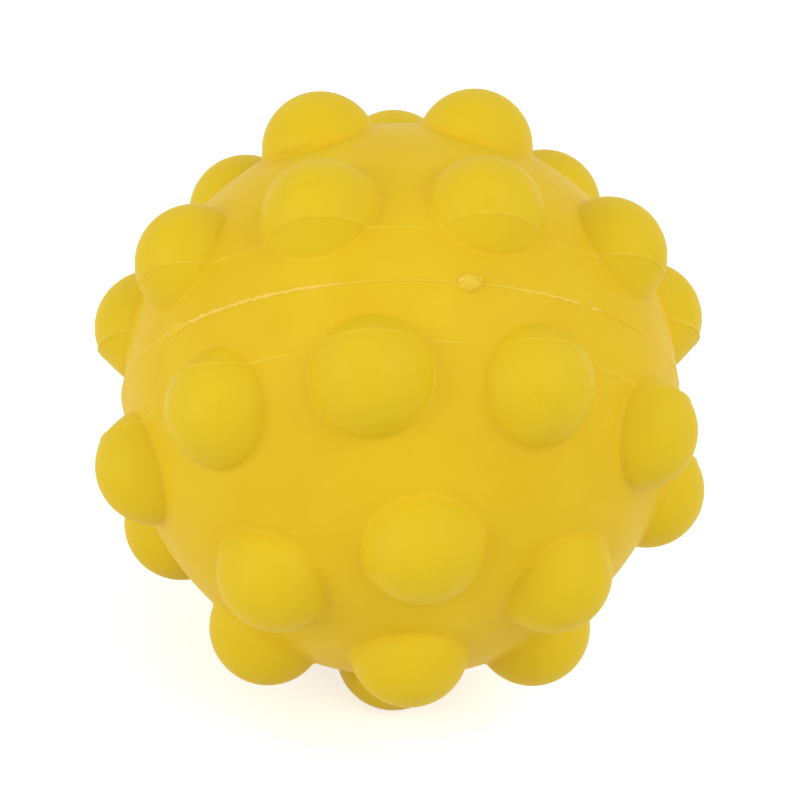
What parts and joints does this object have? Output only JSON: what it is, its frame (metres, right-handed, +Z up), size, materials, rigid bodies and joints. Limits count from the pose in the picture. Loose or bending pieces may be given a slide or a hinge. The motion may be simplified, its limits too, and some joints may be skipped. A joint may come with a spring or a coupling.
{
  "type": "pop fidget ball",
  "caption": "Hollow silicone ball of two glued half shells, covered in round bubbles that each pop inwards and stay in or out.",
  "frame": {"origin": "centre of the ball, on the seam plane and on the axis through the two pole bubbles", "axes": "+Z up with the ball lying on three bubbles of its lower half, -Y towards the side that the picture shows, +X to the right of that side"},
  "size_m": [0.0692, 0.0691, 0.0669],
  "materials": {
    "silicone": "opaque yellow moulded silicone, satin to matte",
    "seam_glue": "paler, slightly clear yellow silicone glue, uneven"
  },
  "bodies": {
    "ball_shell": {"upper_half_shell": "silicone", "lower_half_shell": "silicone", "seam_bead": "seam_glue"},
    "lower_pole_bubble": {"lower_pole_bubble": "silicone"},
    "lower_inner_ring_bubble_1": {"lower_inner_ring_bubble_1": "silicone"},
    "lower_inner_ring_bubble_2": {"lower_inner_ring_bubble_2": "silicone"},
    "lower_inner_ring_bubble_3": {"lower_inner_ring_bubble_3": "silicone"},
    "lower_inner_ring_bubble_4": {"lower_inner_ring_bubble_4": "silicone"},
    "lower_inner_ring_bubble_5": {"lower_inner_ring_bubble_5": "silicone"},
    "lower_inner_ring_bubble_6": {"lower_inner_ring_bubble_6": "silicone"},
    "lower_outer_ring_bubble_1": {"lower_outer_ring_bubble_1": "silicone"},
    "lower_outer_ring_bubble_2": {"lower_outer_ring_bubble_2": "silicone"},
    "lower_outer_ring_bubble_3": {"lower_outer_ring_bubble_3": "silicone"},
    "lower_outer_ring_bubble_4": {"lower_outer_ring_bubble_4": "silicone"},
    "lower_outer_ring_bubble_5": {"lower_outer_ring_bubble_5": "silicone"},
    "lower_outer_ring_bubble_6": {"lower_outer_ring_bubble_6": "silicone"},
    "lower_outer_ring_bubble_7": {"lower_outer_ring_bubble_7": "silicone"},
    "lower_outer_ring_bubble_8": {"lower_outer_ring_bubble_8": "silicone"},
    "lower_outer_ring_bubble_9": {"lower_outer_ring_bubble_9": "silicone"},
    "lower_outer_ring_bubble_10": {"lower_outer_ring_bubble_10": "silicone"},
    "upper_pole_bubble": {"upper_pole_bubble": "silicone"},
    "upper_inner_ring_bubble_1": {"upper_inner_ring_bubble_1": "silicone"},
    "upper_inner_ring_bubble_2": {"upper_inner_ring_bubble_2": "silicone"},
    "upper_inner_ring_bubble_3": {"upper_inner_ring_bubble_3": "silicone"},
    "upper_inner_ring_bubble_4": {"upper_inner_ring_bubble_4": "silicone"},
    "upper_inner_ring_bubble_5": {"upper_inner_ring_bubble_5": "silicone"},
    "upper_inner_ring_bubble_6": {"upper_inner_ring_bubble_6": "silicone"},
    "upper_outer_ring_bubble_1": {"upper_outer_ring_bubble_1": "silicone"},
    "upper_outer_ring_bubble_2": {"upper_outer_ring_bubble_2": "silicone"},
    "upper_outer_ring_bubble_3": {"upper_outer_ring_bubble_3": "silicone"},
    "upper_outer_ring_bubble_4": {"upper_outer_ring_bubble_4": "silicone"},
    "upper_outer_ring_bubble_5": {"upper_outer_ring_bubble_5": "silicone"},
    "upper_outer_ring_bubble_6": {"upper_outer_ring_bubble_6": "silicone"},
    "upper_outer_ring_bubble_7": {"upper_outer_ring_bubble_7": "silicone"},
    "upper_outer_ring_bubble_8": {"upper_outer_ring_bubble_8": "silicone"},
    "upper_outer_ring_bubble_9": {"upper_outer_ring_bubble_9": "silicone"},
    "upper_outer_ring_bubble_10": {"upper_outer_ring_bubble_10": "silicone"}
  },
  "joints": [
    {"name": "lower_pole_pop", "type": "slide", "parent": "ball_shell", "child": "lower_pole_bubble", "axis": [-0.1885, 0.8145, 0.5487], "range_m": [0, 0.01103]},
    {"name": "lower_inner_ring_1_pop", "type": "slide", "parent": "ball_shell", "child": "lower_inner_ring_bubble_1", "axis": [-0.6534, 0.7396, 0.1613], "range_m": [0, 0.01103]},
    {"name": "lower_inner_ring_2_pop", "type": "slide", "parent": "ball_shell", "child": "lower_inner_ring_bubble_2", "axis": [-0.1657, 0.9855, -0.0361], "range_m": [0, 0.01103]},
    {"name": "lower_inner_ring_3_pop", "type": "slide", "parent": "ball_shell", "child": "lower_inner_ring_bubble_3", "axis": [0.3342, 0.909, 0.2492], "range_m": [0, 0.01103]},
    {"name": "lower_inner_ring_4_pop", "type": "slide", "parent": "ball_shell", "child": "lower_inner_ring_bubble_4", "axis": [0.3465, 0.5866, 0.7321], "range_m": [0, 0.01103]},
    {"name": "lower_inner_ring_5_pop", "type": "slide", "parent": "ball_shell", "child": "lower_inner_ring_bubble_5", "axis": [-0.1411, 0.3407, 0.9295], "range_m": [0, 0.01103]},
    {"name": "lower_inner_ring_6_pop", "type": "slide", "parent": "ball_shell", "child": "lower_inner_ring_bubble_6", "axis": [-0.6411, 0.4172, 0.6442], "range_m": [0, 0.01103]},
    {"name": "lower_outer_ring_1_pop", "type": "slide", "parent": "ball_shell", "child": "lower_outer_ring_bubble_1", "axis": [-0.8757, 0.3873, -0.2884], "range_m": [0, 0.01103]},
    {"name": "lower_outer_ring_2_pop", "type": "slide", "parent": "ball_shell", "child": "lower_outer_ring_bubble_2", "axis": [-0.4571, 0.6778, -0.5759], "range_m": [0, 0.01103]},
    {"name": "lower_outer_ring_3_pop", "type": "slide", "parent": "ball_shell", "child": "lower_outer_ring_bubble_3", "axis": [0.1129, 0.8097, -0.5759], "range_m": [0, 0.01103]},
    {"name": "lower_outer_ring_4_pop", "type": "slide", "parent": "ball_shell", "child": "lower_outer_ring_bubble_4", "axis": [0.6166, 0.7326, -0.2884], "range_m": [0, 0.01103]},
    {"name": "lower_outer_ring_5_pop", "type": "slide", "parent": "ball_shell", "child": "lower_outer_ring_bubble_5", "axis": [0.8615, 0.4759, 0.1768], "range_m": [0, 0.01103]},
    {"name": "lower_outer_ring_6_pop", "type": "slide", "parent": "ball_shell", "child": "lower_outer_ring_bubble_6", "axis": [0.7542, 0.1377, 0.642], "range_m": [0, 0.01103]},
    {"name": "lower_outer_ring_7_pop", "type": "slide", "parent": "ball_shell", "child": "lower_outer_ring_bubble_7", "axis": [0.3356, -0.1528, 0.9295], "range_m": [0, 0.01103]},
    {"name": "lower_outer_ring_8_pop", "type": "slide", "parent": "ball_shell", "child": "lower_outer_ring_bubble_8", "axis": [-0.2344, -0.2847, 0.9295], "range_m": [0, 0.01103]},
    {"name": "lower_outer_ring_9_pop", "type": "slide", "parent": "ball_shell", "child": "lower_outer_ring_bubble_9", "axis": [-0.7381, -0.2076, 0.642], "range_m": [0, 0.01103]},
    {"name": "lower_outer_ring_10_pop", "type": "slide", "parent": "ball_shell", "child": "lower_outer_ring_bubble_10", "axis": [-0.983, 0.0491, 0.1768], "range_m": [0, 0.01103]},
    {"name": "upper_pole_pop", "type": "slide", "parent": "ball_shell", "child": "upper_pole_bubble", "axis": [0.1885, -0.8145, -0.5487], "range_m": [0, 0.01103]},
    {"name": "upper_inner_ring_1_pop", "type": "slide", "parent": "ball_shell", "child": "upper_inner_ring_bubble_1", "axis": [-0.416, -0.7364, -0.5335], "range_m": [0, 0.01103]},
    {"name": "upper_inner_ring_2_pop", "type": "slide", "parent": "ball_shell", "child": "upper_inner_ring_bubble_2", "axis": [-0.1577, -0.9845, -0.0764], "range_m": [0, 0.01103]},
    {"name": "upper_inner_ring_3_pop", "type": "slide", "parent": "ball_shell", "child": "upper_inner_ring_bubble_3", "axis": [0.4118, -0.9112, 0.0104], "range_m": [0, 0.01103]},
    {"name": "upper_inner_ring_4_pop", "type": "slide", "parent": "ball_shell", "child": "upper_inner_ring_bubble_4", "axis": [0.7229, -0.5898, -0.3599], "range_m": [0, 0.01103]},
    {"name": "upper_inner_ring_5_pop", "type": "slide", "parent": "ball_shell", "child": "upper_inner_ring_bubble_5", "axis": [0.4646, -0.3417, -0.817], "range_m": [0, 0.01103]},
    {"name": "upper_inner_ring_6_pop", "type": "slide", "parent": "ball_shell", "child": "upper_inner_ring_bubble_6", "axis": [-0.1049, -0.415, -0.9038], "range_m": [0, 0.01103]},
    {"name": "upper_outer_ring_1_pop", "type": "slide", "parent": "ball_shell", "child": "upper_outer_ring_bubble_1", "axis": [-0.8676, -0.382, -0.3183], "range_m": [0, 0.01103]},
    {"name": "upper_outer_ring_2_pop", "type": "slide", "parent": "ball_shell", "child": "upper_outer_ring_bubble_2", "axis": [-0.7195, -0.6742, 0.1664], "range_m": [0, 0.01103]},
    {"name": "upper_outer_ring_3_pop", "type": "slide", "parent": "ball_shell", "child": "upper_outer_ring_bubble_3", "axis": [-0.2734, -0.8092, 0.52], "range_m": [0, 0.01103]},
    {"name": "upper_outer_ring_4_pop", "type": "slide", "parent": "ball_shell", "child": "upper_outer_ring_bubble_4", "axis": [0.3004, -0.7354, 0.6075], "range_m": [0, 0.01103]},
    {"name": "upper_outer_ring_5_pop", "type": "slide", "parent": "ball_shell", "child": "upper_outer_ring_bubble_5", "axis": [0.7826, -0.4809, 0.3954], "range_m": [0, 0.01103]},
    {"name": "upper_outer_ring_6_pop", "type": "slide", "parent": "ball_shell", "child": "upper_outer_ring_bubble_6", "axis": [0.9891, -0.143, -0.0353], "range_m": [0, 0.01103]},
    {"name": "upper_outer_ring_7_pop", "type": "slide", "parent": "ball_shell", "child": "upper_outer_ring_bubble_7", "axis": [0.841, 0.1493, -0.52], "range_m": [0, 0.01103]},
    {"name": "upper_outer_ring_8_pop", "type": "slide", "parent": "ball_shell", "child": "upper_outer_ring_bubble_8", "axis": [0.3949, 0.2842, -0.8737], "range_m": [0, 0.01103]},
    {"name": "upper_outer_ring_9_pop", "type": "slide", "parent": "ball_shell", "child": "upper_outer_ring_bubble_9", "axis": [-0.1789, 0.2104, -0.9611], "range_m": [0, 0.01103]},
    {"name": "upper_outer_ring_10_pop", "type": "slide", "parent": "ball_shell", "child": "upper_outer_ring_bubble_10", "axis": [-0.6611, -0.0441, -0.749], "range_m": [0, 0.01103]}
  ]
}
